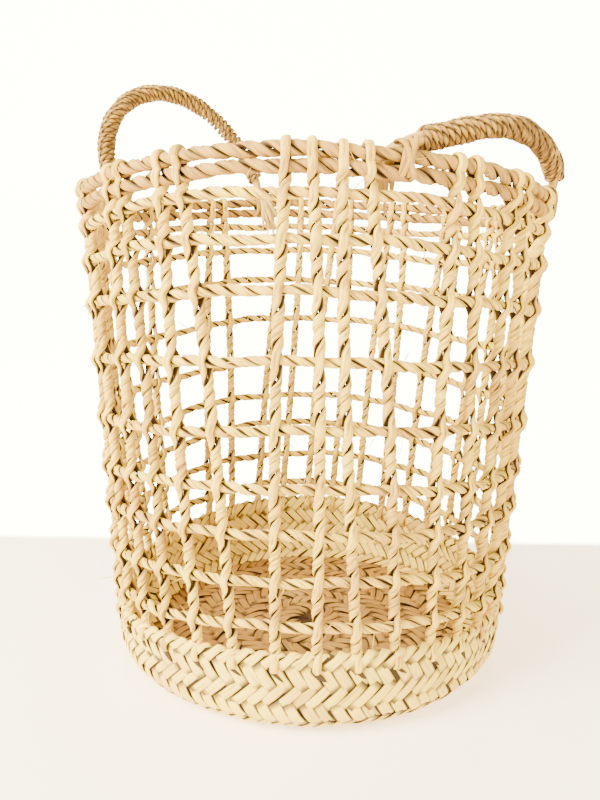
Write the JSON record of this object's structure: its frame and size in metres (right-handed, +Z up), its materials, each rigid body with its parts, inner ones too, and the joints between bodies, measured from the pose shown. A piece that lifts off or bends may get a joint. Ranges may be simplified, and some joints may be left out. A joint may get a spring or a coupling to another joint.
{
  "type": "storage basket",
  "caption": "Round open-net storage basket in twisted seagrass cord, with a plaited base and band, double rope rim and two wrapped arch handles.",
  "frame": {"origin": "middle of the underside, on the surface the basket stands on", "axes": "+Z up, +X to the middle of the low handle, -X to the middle of the tall handle, to within 3 degrees"},
  "size_m": [0.3349, 0.3282, 0.4247],
  "materials": {
    "pale_cord": "dry leaf cord, matt with a faint sheen",
    "rim_cord": "dry leaf cord, matt",
    "tie_leaf": "loose leaf fibre, matt",
    "handle_cord": "fine twisted cord, matt",
    "band_plait": "flat plaited leaf, satin",
    "floor_plait": "flat plaited leaf, matt"
  },
  "bodies": {
    "basket": {"floor_plait": "floor_plait", "lower_band": "band_plait", "row_rope_1": "pale_cord", "row_rope_2": "pale_cord", "row_rope_3": "pale_cord", "row_rope_4": "pale_cord", "row_rope_5": "pale_cord", "row_rope_6": "pale_cord", "row_rope_7": "pale_cord", "row_rope_8": "pale_cord", "row_rope_9": "pale_cord", "rim_rope_lower": "rim_cord", "rim_rope_upper": "rim_cord", "stake_01": "pale_cord", "stake_02": "pale_cord", "stake_03": "pale_cord", "stake_04": "pale_cord", "stake_05": "pale_cord", "stake_06": "pale_cord", "stake_07": "pale_cord", "stake_08": "pale_cord", "stake_09": "pale_cord", "stake_10": "pale_cord", "stake_11": "pale_cord", "stake_12": "pale_cord", "stake_13": "pale_cord", "stake_14": "pale_cord", "stake_15": "pale_cord", "stake_16": "pale_cord", "stake_17": "pale_cord", "stake_18": "pale_cord", "stake_19": "pale_cord", "stake_20": "pale_cord", "stake_21": "pale_cord", "stake_22": "pale_cord", "stake_23": "pale_cord", "stake_24": "pale_cord", "stake_25": "pale_cord", "stake_26": "pale_cord", "stake_27": "pale_cord", "stake_28": "pale_cord", "stake_29": "pale_cord", "stake_30": "pale_cord", "stake_31": "pale_cord", "stake_32": "pale_cord", "stake_33": "pale_cord", "stake_34": "pale_cord", "stake_35": "pale_cord", "stake_36": "pale_cord", "right_handle_tie_1": "tie_leaf", "right_handle_tie_2": "tie_leaf", "left_handle_tie_1": "tie_leaf", "left_handle_tie_2": "tie_leaf"},
    "right_handle": {"right_handle_core": "tie_leaf", "right_handle_wrap": "handle_cord"},
    "left_handle": {"left_handle_core": "tie_leaf", "left_handle_wrap": "handle_cord"}
  },
  "joints": [
    {"name": "right_handle_fold", "type": "hinge", "parent": "basket", "child": "right_handle", "pos_m": [0.13644, 0, 0.3371], "axis": [0, 0.9965, -0.0838], "range_deg": [-120, 5]},
    {"name": "left_handle_fold", "type": "hinge", "parent": "basket", "child": "left_handle", "pos_m": [-0.13625, -0.00714, 0.33669], "axis": [0.0522, -0.9952, -0.0833], "range_deg": [-110, 70]}
  ]
}
